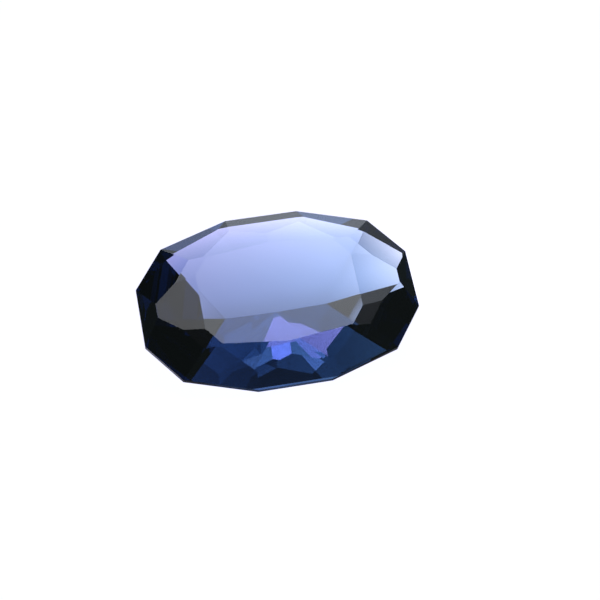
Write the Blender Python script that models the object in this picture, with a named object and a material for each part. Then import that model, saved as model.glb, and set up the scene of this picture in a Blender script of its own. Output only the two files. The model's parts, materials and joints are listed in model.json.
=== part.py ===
"""Loose oval tanzanite, cut facet by facet from a block of rough and laid down on its pavilion.

The gem is shaped in its own frame: X along the oval, Y across it, Z out of the table, and the
origin in the plane where the crown meets the girdle. The finished stone is then turned so that
one long pavilion facet lies flat on the ground.
"""
import math

import bmesh
import bpy
from mathutils import Matrix, Vector

MILLIMETRE = 0.001

# Driving dimensions, in millimetres
LENGTH = 10.0
WIDTH = 6.8
CROWN_HEIGHT = 0.63
GIRDLE_WALL = 0.19
PAVILION_DEPTH = 2.74

# Corners of the girdle outline in one quarter, as shares of the half length and the half width
GIRDLE_SIDE_CORNER = (0.267, 1.000)
GIRDLE_SHOULDER_CORNER = (0.775, 0.765)
GIRDLE_END_CORNER = (1.000, 0.330)

# Corners of the table in one quarter, as shares of the half length and the half width
TABLE_SIDE_CORNER = (0.000, 0.582)
TABLE_SHOULDER_CORNER = (0.468, 0.504)
TABLE_END_CORNER = (0.569, 0.311)

# Crown facet angles, in degrees from the plane of the table
CROWN_SIDE_MAIN = 19.6
CROWN_CORNER_MAIN = 10.5
CROWN_END_MAIN = 7.3
CROWN_SIDE_BREAK = 25.8
CROWN_SHOULDER_BREAK = 26.4
CROWN_CORNER_BREAK = 23.5
CROWN_END_BREAK = 36.1

# Pavilion facet angles, in degrees from the plane of the table
PAVILION_SIDE_MAIN = 34.8
PAVILION_SHOULDER_MAIN = 33.2
PAVILION_CORNER_MAIN = 34.4
PAVILION_SIDE_BREAK = 52.0
PAVILION_SHOULDER_BREAK = 60.2
PAVILION_CORNER_BREAK = 58.2
PAVILION_END_BREAK = 55.9

# Directions that the pavilion mains face, in degrees from the oval's length
SIDE_FACING = 90.0
SHOULDER_MAIN_FACING = 83.0
CORNER_MAIN_FACING = 20.5

# Where the short keel on either side of the culet turns up towards the ends
KEEL_HALF_LENGTH = 1.89

TANZANITE_BLUE = (0.12, 0.11, 0.55, 1.0)
POLISHED = 0.03
REFRACTIVE_INDEX = 1.694
ROUGH_MARGIN = 1.2
CUT_TOLERANCE = 1e-5


def place(corner, height):
    """Point at a corner given in shares of the half length and the half width."""
    return Vector((corner[0] * LENGTH / 2, corner[1] * WIDTH / 2, height))


def mirrored(corner):
    """The same corner on the other side of the oval's length."""
    return (corner[0], -corner[1])


def across(corner):
    """The same corner on the other side of the oval's width."""
    return (-corner[0], corner[1])


def facing(azimuth, angle, side):
    """Unit normal of a facet. side is 1 on the crown and -1 on the pavilion."""
    turn, lean = math.radians(azimuth), math.radians(angle)
    return Vector((math.cos(turn) * math.sin(lean), math.sin(turn) * math.sin(lean), side * math.cos(lean)))


def along_edge(start, end, height, angle, side):
    """Facet through a level edge: a point on it and its outward normal."""
    first, second = place(start, height), place(end, height)
    middle, run = (first + second) / 2, second - first
    outward = Vector((run.y, -run.x, 0))
    if outward.dot(middle) < 0:
        outward.negate()
    azimuth = math.degrees(math.atan2(outward.y, outward.x))
    return middle, facing(azimuth, angle, side)


def crown_facets():
    """The crown's facets in one quarter: mains on the table's edges, breaks on the girdle's."""
    mains = (
        (TABLE_SIDE_CORNER, TABLE_SHOULDER_CORNER, CROWN_SIDE_MAIN),
        (TABLE_SHOULDER_CORNER, TABLE_END_CORNER, CROWN_CORNER_MAIN),
        (TABLE_END_CORNER, mirrored(TABLE_END_CORNER), CROWN_END_MAIN),
    )
    breaks = (
        (across(GIRDLE_SIDE_CORNER), GIRDLE_SIDE_CORNER, CROWN_SIDE_BREAK),
        (GIRDLE_SIDE_CORNER, GIRDLE_SHOULDER_CORNER, CROWN_SHOULDER_BREAK),
        (GIRDLE_SHOULDER_CORNER, GIRDLE_END_CORNER, CROWN_CORNER_BREAK),
        (GIRDLE_END_CORNER, mirrored(GIRDLE_END_CORNER), CROWN_END_BREAK),
    )
    facets = [along_edge(start, end, CROWN_HEIGHT, angle, 1) for start, end, angle in mains]
    facets += [along_edge(start, end, 0, angle, 1) for start, end, angle in breaks]
    return facets


def girdle_facets():
    """The upright walls round the girdle in one quarter."""
    edges = (
        (across(GIRDLE_SIDE_CORNER), GIRDLE_SIDE_CORNER),
        (GIRDLE_SIDE_CORNER, GIRDLE_SHOULDER_CORNER),
        (GIRDLE_SHOULDER_CORNER, GIRDLE_END_CORNER),
        (GIRDLE_END_CORNER, mirrored(GIRDLE_END_CORNER)),
    )
    return [along_edge(start, end, 0, 90, 1) for start, end in edges]


def pavilion_facets():
    """The pavilion's facets in one quarter: mains that run to the keel, breaks under the girdle."""
    culet = Vector((0, 0, -PAVILION_DEPTH))
    side_main = facing(SIDE_FACING, PAVILION_SIDE_MAIN, -1)
    shoulder_main = facing(SHOULDER_MAIN_FACING, PAVILION_SHOULDER_MAIN, -1)
    corner_main = facing(CORNER_MAIN_FACING, PAVILION_CORNER_MAIN, -1)
    keel_rise = -KEEL_HALF_LENGTH * shoulder_main.x / shoulder_main.z
    keel_end = culet + Vector((KEEL_HALF_LENGTH, 0, keel_rise))
    breaks = (
        (across(GIRDLE_SIDE_CORNER), GIRDLE_SIDE_CORNER, PAVILION_SIDE_BREAK),
        (GIRDLE_SIDE_CORNER, GIRDLE_SHOULDER_CORNER, PAVILION_SHOULDER_BREAK),
        (GIRDLE_SHOULDER_CORNER, GIRDLE_END_CORNER, PAVILION_CORNER_BREAK),
        (GIRDLE_END_CORNER, mirrored(GIRDLE_END_CORNER), PAVILION_END_BREAK),
    )
    facets = [(culet, side_main), (culet, shoulder_main), (keel_end, corner_main)]
    facets += [along_edge(start, end, -GIRDLE_WALL, angle, -1) for start, end, angle in breaks]
    return facets


def all_round(facets):
    """A quarter's facets copied to all four quarters, each plane once."""
    planes = []
    for point, normal in facets:
        for flip in ((1, 1), (-1, 1), (-1, -1), (1, -1)):
            turned = Vector((normal.x * flip[0], normal.y * flip[1], normal.z))
            through = Vector((point.x * flip[0], point.y * flip[1], point.z))
            if all((turned - other).length > CUT_TOLERANCE for _, other in planes):
                planes.append((through, turned))
    return planes


def grind(stone, point, normal):
    """Cuts the stone flat: takes away what lies beyond the plane and closes the cut."""
    everything = stone.verts[:] + stone.edges[:] + stone.faces[:]
    bmesh.ops.bisect_plane(
        stone, geom=everything, dist=CUT_TOLERANCE, plane_co=point, plane_no=normal, clear_outer=True)
    open_edges = [edge for edge in stone.edges if edge.is_boundary]
    if open_edges:
        bmesh.ops.holes_fill(stone, edges=open_edges, sides=0)


def cut_stone():
    """Cuts the whole gem in its own frame, in millimetres."""
    stone = bmesh.new()
    bmesh.ops.create_cube(stone, size=1.0)
    rough = (LENGTH * ROUGH_MARGIN, WIDTH * ROUGH_MARGIN, PAVILION_DEPTH * 2 * ROUGH_MARGIN)
    bmesh.ops.scale(stone, vec=rough, verts=stone.verts)
    table = (Vector((0, 0, CROWN_HEIGHT)), Vector((0, 0, 1)))
    for point, normal in [table] + all_round(girdle_facets() + crown_facets() + pavilion_facets()):
        grind(stone, point, normal)
    bmesh.ops.dissolve_degenerate(stone, dist=CUT_TOLERANCE, edges=stone.edges)
    bmesh.ops.recalc_face_normals(stone, faces=stone.faces)
    return stone


def gem_material():
    """Clear blue-violet tanzanite."""
    material = bpy.data.materials.new("tanzanite")
    material.use_nodes = True
    shader = material.node_tree.nodes["Principled BSDF"]
    shader.inputs["Base Color"].default_value = TANZANITE_BLUE
    shader.inputs["Roughness"].default_value = POLISHED
    shader.inputs["Metallic"].default_value = 0.0
    shader.inputs["IOR"].default_value = REFRACTIVE_INDEX
    return material


def lay_down(gem):
    """Turns the stone so that its front side main lies on the ground, centred over the origin."""
    tilt = Matrix.Rotation(math.radians(PAVILION_SIDE_MAIN), 4, "X")
    corners = [tilt @ vertex.co for vertex in gem.data.vertices]
    low = Vector([min(corner[axis] for corner in corners) for axis in range(3)])
    high = Vector([max(corner[axis] for corner in corners) for axis in range(3)])
    gem.rotation_euler = tilt.to_euler()
    gem.location = (-(low.x + high.x) / 2, -(low.y + high.y) / 2, -low.z)


def make_tanzanite():
    stone = cut_stone()
    bmesh.ops.scale(stone, vec=(MILLIMETRE, MILLIMETRE, MILLIMETRE), verts=stone.verts)
    mesh = bpy.data.meshes.new("tanzanite")
    stone.to_mesh(mesh)
    stone.free()
    gem = bpy.data.objects.new("tanzanite", mesh)
    bpy.context.scene.collection.objects.link(gem)
    mesh.materials.append(gem_material())
    lay_down(gem)


for leftover in list(bpy.data.objects):
    bpy.data.objects.remove(leftover)
make_tanzanite()
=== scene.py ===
"""Looks of a loose oval tanzanite lying on a pale surface under soft studio light."""
import json
import math

import bmesh
import bpy
from mathutils import Matrix, Vector


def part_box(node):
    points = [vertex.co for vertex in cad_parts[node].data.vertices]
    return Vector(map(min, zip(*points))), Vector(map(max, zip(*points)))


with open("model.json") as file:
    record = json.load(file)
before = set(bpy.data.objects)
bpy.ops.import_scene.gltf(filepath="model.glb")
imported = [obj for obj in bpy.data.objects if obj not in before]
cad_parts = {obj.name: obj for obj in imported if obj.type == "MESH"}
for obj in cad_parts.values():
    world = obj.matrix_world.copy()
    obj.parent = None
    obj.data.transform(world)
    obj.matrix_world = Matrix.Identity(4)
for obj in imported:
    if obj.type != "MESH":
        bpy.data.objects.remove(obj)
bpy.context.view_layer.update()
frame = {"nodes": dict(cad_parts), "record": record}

# The photograph's frame and the place of the stone's girdle centre in it, in pixels
PHOTO_SIZE = 600
GIRDLE_CENTRE_PIXEL = (278.0, 297.9)

# The photograph's viewing angle, in degrees in the stone's own frame, and its distance and scale in metres
VIEW_AZIMUTH = -18.04
VIEW_ELEVATION = 64.37
VIEW_ROLL = 7.96
VIEW_DISTANCE = 0.05272
METRES_PER_PIXEL = 0.03609e-3
CLIP_START = 0.001
CLIP_END = 10.0

# The cut: its heights from the plane where the crown meets the girdle, and its half length, in metres
CROWN_HEIGHT = 0.63e-3
GIRDLE_WALL = 0.19e-3
HALF_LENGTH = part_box("tanzanite")[1][0]

# The crystal: a blue that deepens with depth, and a violet tint at one end that fades to clear at the other
REFRACTIVE_INDEX = 1.7
ABSORPTION_DENSITY = 637.0
ABSORPTION_COLOUR = (0.0, 0.26, 0.479, 1.0)
VIOLET_ZONE = (0.74, 0.6, 1.0, 1.0)
PALE_ZONE = (1.0, 1.0, 1.0, 1.0)
ZONE_CLOUD_SIZE = 420.0
ZONE_CLOUD_SHARE = 0.12

# The girdle is ground, not polished, and lets little light through. Its edge fades over a share of the wall
GIRDLE_ROUGHNESS = 0.35
GIRDLE_GREY = (0.14, 0.14, 0.16, 1.0)
GIRDLE_EDGE_SHARE = 0.02

# The floor. Its paint is nearly black because all its light is in its glow, so no lamp lights it twice
FLOOR_RADIUS = 0.65
FLOOR_CORNERS = 96
FLOOR_PAINT = (0.02, 0.02, 0.02, 1.0)

# A film of air stays between the polished facet and the surface under it, or the facet would not mirror
AIR_FILM = 0.02e-3

# The glow is a painted pool of light on the floor, brightest behind the stone. Further out it is painted
# shade
POOL_COLOUR = (0.99, 1.0, 1.23, 1.0)
POOL_CENTRE = (2.6e-3, 3.2e-3, 0.0)
POOL_GLOW = 1.68
POOL_RIM_GLOW = 0.95
POOL_FADE = 6.0e-3
POOL_RADIUS = 12.0e-3
POOL_SOFTNESS = 1.5e-3
SHADE_GLOW = 0.1

# Painted shadow of the stone in the floor's glow, where it touches and most of all in front. These are the
# strength left there, and where along the room's depth each painted shade ends
CONTACT_SHADE = 0.7
CONTACT_SHADE_END = (0.8e-3, 2.6e-3)
FRONT_SHADE = 0.12
FRONT_SHADE_END = (-2.2e-3, -1.0e-3)

# The surroundings: a pale light tent behind and above the stone, and a dim room in front and at the sides.
# The tent's edges are the depthwise and sideways part of a direction of length 1
TENT_FRONT_EDGE = -0.181
TENT_LEFT_EDGE = -0.038
TENT_RIGHT_EDGE = 0.462
TENT_EDGE_SOFTNESS = 0.348
TENT_COLOUR = (0.908, 1.0, 1.162, 1.0)
TENT_RADIANCE_AT_FLOOR = 0.54
TENT_RADIANCE_OVERHEAD = 3.05
ROOM_COLOUR = (0.64, 0.86, 0.9, 1.0)
ROOM_RADIANCE_AT_FLOOR = 0.163
ROOM_RADIANCE_OVERHEAD = 0.04
BACKDROP_WHITE = (1.0, 1.0, 1.0, 1.0)

# The lamps in the tent's roof: shape, direction in the stone's own frame, half of the width and of the height
# that the stone sees, in degrees, radiance by colour, and whether the polished facets mirror the lamp
LAMP_DISTANCE = 0.3
LAMPS = {
    "roof lamp": ("ELLIPSE", (-0.083, 0.616, 0.783), (25.6, 25.6), (0.85, 0.85, 0.85), True),
    "long strip": ("RECTANGLE", (0.0, 0.533, 0.846), (10.0, 4.4), (18.0, 5.5, 5.5), False),
    "left spot": ("ELLIPSE", (-0.033, 0.437, 0.899), (2.0, 2.0), (14.0, 6.0, 6.5), False),
    "middle spot": ("ELLIPSE", (-0.008, 0.37, 0.929), (1.3, 1.3), (6.0, 4.0, 4.0), False),
    "bright spot": ("ELLIPSE", (0.131, 0.333, 0.934), (1.5, 1.5), (16.0, 6.5, 9.0), False),
    "short strip": ("RECTANGLE", (0.18, 0.333, 0.926), (6.4, 1.3), (4.0, 3.0, 2.5), False),
}


# Places and the camera

def stone_frame():
    """The stone's own axes in the room: X along the oval, Z out of the table, origin at the girdle."""
    table = next(mount for mount in frame["record"]["mounts"] if mount["name"] == "table")
    up = Vector(table["axis"]).normalized()
    along = Vector((1, 0, 0))
    across = up.cross(along)
    origin = Vector(table["pos_m"]) - up * CROWN_HEIGHT
    turned = Matrix((along, across, up)).transposed().to_4x4()
    return Matrix.Translation(origin) @ turned


def view_axes(to_room):
    """Directions in the room from the stone to the camera, to the picture's right and to its top."""
    azimuth, elevation, roll = (math.radians(angle) for angle in (VIEW_AZIMUTH, VIEW_ELEVATION, VIEW_ROLL))
    level_x = math.sin(azimuth) * math.cos(elevation)
    level_y = -math.cos(azimuth) * math.cos(elevation)
    back = Vector((level_x, level_y, math.sin(elevation)))
    level = Vector((0, 0, 1)).cross(back).normalized()
    upward = back.cross(level)
    right = math.cos(roll) * level + math.sin(roll) * upward
    top = math.cos(roll) * upward - math.sin(roll) * level
    turn = to_room.to_3x3()
    return turn @ back, turn @ right, turn @ top


def place_camera(to_room):
    """Camera at the photograph's viewing angle, shifted so that the stone lies where it does there."""
    back, right, top = view_axes(to_room)
    data = bpy.data.cameras.new("camera")
    data.angle = 2 * math.atan(PHOTO_SIZE * METRES_PER_PIXEL / 2 / VIEW_DISTANCE)
    data.shift_x = (PHOTO_SIZE / 2 - GIRDLE_CENTRE_PIXEL[0]) / PHOTO_SIZE
    data.shift_y = (GIRDLE_CENTRE_PIXEL[1] - PHOTO_SIZE / 2) / PHOTO_SIZE
    data.clip_start = CLIP_START
    data.clip_end = CLIP_END
    camera = bpy.data.objects.new("camera", data)
    bpy.context.scene.collection.objects.link(camera)
    axes = Matrix((right, top, back)).transposed().to_4x4()
    camera.matrix_world = Matrix.Translation(to_room.translation + back * VIEW_DISTANCE) @ axes
    bpy.context.scene.camera = camera


# Building blocks of the node trees

def feed(tree, value, socket):
    """Gives a socket another node's output, or a plain value."""
    if isinstance(value, bpy.types.NodeSocket):
        tree.links.new(value, socket)
    else:
        socket.default_value = value


def arithmetic(tree, operation, first, second):
    node = tree.nodes.new("ShaderNodeMath")
    node.operation = operation
    feed(tree, first, node.inputs[0])
    feed(tree, second, node.inputs[1])
    return node.outputs["Value"]


def ramp(tree, value, start, end, low=0.0, high=1.0, curve="SMOOTHSTEP"):
    """Goes from low, where the value is start, to high, where it is end, and stays level beyond them."""
    node = tree.nodes.new("ShaderNodeMapRange")
    node.interpolation_type = curve
    node.inputs["From Min"].default_value = start
    node.inputs["From Max"].default_value = end
    node.inputs["To Min"].default_value = low
    node.inputs["To Max"].default_value = high
    tree.links.new(value, node.inputs["Value"])
    return node.outputs["Result"]


def distance_from(tree, place, centre):
    node = tree.nodes.new("ShaderNodeVectorMath")
    node.operation = "DISTANCE"
    node.inputs[1].default_value = centre
    tree.links.new(place, node.inputs[0])
    return node.outputs["Value"]


def colour_mix(tree, share, first, second):
    """Blends two colours. Each is a colour or another node's output."""
    node = tree.nodes.new("ShaderNodeMix")
    node.data_type = "RGBA"
    tree.links.new(share, node.inputs["Factor"])
    for socket, colour in zip([socket for socket in node.inputs if socket.type == "RGBA"], (first, second)):
        feed(tree, colour, socket)
    return next(socket for socket in node.outputs if socket.type == "RGBA")


def light_mix(tree, share, first, second):
    node = tree.nodes.new("ShaderNodeMixShader")
    tree.links.new(share, node.inputs["Fac"])
    tree.links.new(first, node.inputs[1])
    tree.links.new(second, node.inputs[2])
    return node.outputs["Shader"]


# The studio

def surroundings(tree, colour, height, at_floor, overhead):
    """Light of one colour that changes evenly in strength from the floor's level to straight overhead."""
    node = tree.nodes.new("ShaderNodeBackground")
    node.inputs["Color"].default_value = colour
    feed(tree, ramp(tree, height, 0.0, 1.0, at_floor, overhead, "LINEAR"), node.inputs["Strength"])
    return node.outputs["Background"]


def make_studio():
    """Surroundings that light the stone: the tent's white cloth behind and above, a dim room in front."""
    world = bpy.data.worlds.new("studio")
    bpy.context.scene.world = world
    world.use_nodes = True
    tree = world.node_tree
    tree.nodes.remove(tree.nodes["Background"])
    split = tree.nodes.new("ShaderNodeSeparateXYZ")
    tree.links.new(tree.nodes.new("ShaderNodeTexCoord").outputs["Generated"], split.inputs["Vector"])
    sideways, depth, height = split.outputs
    soft = TENT_EDGE_SOFTNESS
    behind = ramp(tree, depth, TENT_FRONT_EDGE - soft, TENT_FRONT_EDGE + soft)
    inside_left = ramp(tree, sideways, TENT_LEFT_EDGE - soft, TENT_LEFT_EDGE + soft)
    inside_right = ramp(tree, sideways, TENT_RIGHT_EDGE + soft, TENT_RIGHT_EDGE - soft)
    cloth = arithmetic(tree, "MULTIPLY", arithmetic(tree, "MULTIPLY", behind, inside_left), inside_right)
    room = surroundings(tree, ROOM_COLOUR, height, ROOM_RADIANCE_AT_FLOOR, ROOM_RADIANCE_OVERHEAD)
    tent = surroundings(tree, TENT_COLOUR, height, TENT_RADIANCE_AT_FLOOR, TENT_RADIANCE_OVERHEAD)
    backdrop = surroundings(tree, BACKDROP_WHITE, height, 1.0, 1.0)
    seen_directly = tree.nodes.new("ShaderNodeLightPath").outputs["Is Camera Ray"]
    shown = light_mix(tree, seen_directly, light_mix(tree, cloth, room, tent), backdrop)
    tree.links.new(shown, tree.nodes["World Output"].inputs["Surface"])


def hang_lamp(name, shape, direction, half_angles, radiance, mirrored):
    """Area light at a direction from the stone, aimed at it. radiance is what the stone sees."""
    width, height = (2 * LAMP_DISTANCE * math.tan(math.radians(angle)) for angle in half_angles)
    area = width * height * (math.pi / 4 if shape == "ELLIPSE" else 1)
    brightest = max(radiance)
    data = bpy.data.lights.new(name, "AREA")
    data.shape = shape
    data.size = width
    data.size_y = height
    data.color = [channel / brightest for channel in radiance]
    data.energy = brightest * math.pi * area
    lamp = bpy.data.objects.new(name, data)
    bpy.context.scene.collection.objects.link(lamp)
    toward = direction.normalized()
    along = (Vector((1, 0, 0)) - toward * toward.x).normalized()
    axes = Matrix((along, toward.cross(along), toward)).transposed().to_4x4()
    lamp.matrix_world = Matrix.Translation(toward * LAMP_DISTANCE) @ axes
    lamp.visible_camera = False
    lamp.visible_glossy = mirrored


def hang_lamps(to_room):
    turn = to_room.to_3x3()
    for name, (shape, direction, half_angles, radiance, mirrored) in LAMPS.items():
        hang_lamp(name, shape, turn @ Vector(direction), half_angles, radiance, mirrored)


# The floor

def pool_of_light(tree):
    """Strength of the floor's glow, a painted pool of light: brightest at its centre, painted shade under the
    stone and in front.
    """
    place = tree.nodes.new("ShaderNodeTexCoord").outputs["Object"]
    split = tree.nodes.new("ShaderNodeSeparateXYZ")
    tree.links.new(place, split.inputs["Vector"])
    depth = split.outputs["Y"]
    # painted shadow of the stone: the glow is dimmed under it and, most of all, in front of it
    under_stone = ramp(tree, depth, *CONTACT_SHADE_END, low=CONTACT_SHADE)
    in_front = ramp(tree, depth, *FRONT_SHADE_END, low=FRONT_SHADE)
    reach = distance_from(tree, place, (0, 0, 0))
    # beyond the painted pool of light the floor's glow drops to painted shade
    inside = ramp(tree, reach, POOL_RADIUS + POOL_SOFTNESS, POOL_RADIUS - POOL_SOFTNESS, low=SHADE_GLOW)
    away = distance_from(tree, place, POOL_CENTRE)
    glow = ramp(tree, away, 0.0, POOL_FADE, POOL_GLOW, POOL_RIM_GLOW, "LINEAR")
    shaded = arithmetic(tree, "MULTIPLY", under_stone, in_front)
    return arithmetic(tree, "MULTIPLY", arithmetic(tree, "MULTIPLY", glow, shaded), inside)


def floor_material():
    """White paper, exposed to pure white for the camera, with a painted pool of light and painted shade in
    its glow round the stone.
    """
    material = bpy.data.materials.new("pale_floor")
    material.use_nodes = True
    tree = material.node_tree
    shader = tree.nodes["Principled BSDF"]
    shader.inputs["Base Color"].default_value = FLOOR_PAINT
    shader.inputs["Roughness"].default_value = 1.0
    shader.inputs["Specular IOR Level"].default_value = 0.0
    shader.inputs["Emission Color"].default_value = POOL_COLOUR
    seen_directly = tree.nodes.new("ShaderNodeLightPath").outputs["Is Camera Ray"]
    brightest = arithmetic(tree, "MAXIMUM", pool_of_light(tree), seen_directly)
    tree.links.new(brightest, shader.inputs["Emission Strength"])
    return material


def make_floor():
    mesh = bpy.data.meshes.new("floor")
    disc = bmesh.new()
    bmesh.ops.create_circle(disc, cap_ends=True, radius=FLOOR_RADIUS, segments=FLOOR_CORNERS)
    bmesh.ops.translate(disc, vec=(0, 0, -AIR_FILM), verts=disc.verts)
    disc.to_mesh(mesh)
    disc.free()
    floor = bpy.data.objects.new("floor", mesh)
    bpy.context.scene.collection.objects.link(floor)
    mesh.materials.append(floor_material())


# The crystal

def stone_coordinates(tree, to_room):
    """A point's place in the stone's own frame, in metres, and the same in its three parts."""
    place = tree.nodes.new("ShaderNodeTexCoord").outputs["Object"]
    mapping = tree.nodes.new("ShaderNodeMapping")
    mapping.vector_type = "POINT"
    to_stone = to_room.inverted()
    mapping.inputs["Location"].default_value = to_stone.translation
    mapping.inputs["Rotation"].default_value = to_stone.to_euler()
    tree.links.new(place, mapping.inputs["Vector"])
    split = tree.nodes.new("ShaderNodeSeparateXYZ")
    tree.links.new(mapping.outputs["Vector"], split.inputs["Vector"])
    return mapping.outputs["Vector"], split.outputs


def colour_zoning(tree, place, along):
    """Violet at one end of the crystal, clear blue at the other, with a faint cloudy border between them."""
    cloud = tree.nodes.new("ShaderNodeTexNoise")
    cloud.inputs["Scale"].default_value = ZONE_CLOUD_SIZE
    tree.links.new(place, cloud.inputs["Vector"])
    zones = tree.nodes.new("ShaderNodeMix")
    zones.inputs["Factor"].default_value = ZONE_CLOUD_SHARE
    tree.links.new(ramp(tree, along, -HALF_LENGTH, HALF_LENGTH, curve="LINEAR"), zones.inputs["A"])
    tree.links.new(cloud.outputs["Fac"], zones.inputs["B"])
    return colour_mix(tree, zones.outputs["Result"], VIOLET_ZONE, PALE_ZONE)


def girdle_band(tree, height):
    """1 on the ground wall of the girdle and 0 on the polished facets above and below it."""
    edge = GIRDLE_WALL * GIRDLE_EDGE_SHARE
    below_crown = ramp(tree, height, 0.0, -edge)
    above_pavilion = ramp(tree, height, -GIRDLE_WALL, -GIRDLE_WALL + edge)
    return arithmetic(tree, "MULTIPLY", below_crown, above_pavilion)


def gem_material(to_room):
    """Clear violet-blue zoisite, polished on its facets and finely ground on its girdle."""
    material = bpy.data.materials.new("tanzanite")
    material.use_nodes = True
    tree = material.node_tree
    shader = tree.nodes["Principled BSDF"]
    shader.inputs["IOR"].default_value = REFRACTIVE_INDEX
    shader.inputs["Transmission Weight"].default_value = 1.0
    place, (along, _, height) = stone_coordinates(tree, to_room)
    band = girdle_band(tree, height)
    zones = colour_zoning(tree, place, along)
    feed(tree, colour_mix(tree, band, zones, GIRDLE_GREY), shader.inputs["Base Color"])
    feed(tree, arithmetic(tree, "MULTIPLY", band, GIRDLE_ROUGHNESS), shader.inputs["Roughness"])
    absorb = tree.nodes.new("ShaderNodeVolumeAbsorption")
    absorb.inputs["Color"].default_value = ABSORPTION_COLOUR
    absorb.inputs["Density"].default_value = ABSORPTION_DENSITY
    tree.links.new(absorb.outputs["Volume"], tree.nodes["Material Output"].inputs["Volume"])
    return material


to_room = stone_frame()
place_camera(to_room)
make_floor()
make_studio()
hang_lamps(to_room)

stone = frame["nodes"]["tanzanite"]
stone.data.materials.clear()
stone.data.materials.append(gem_material(to_room))

bpy.context.scene.view_settings.view_transform = "Standard"
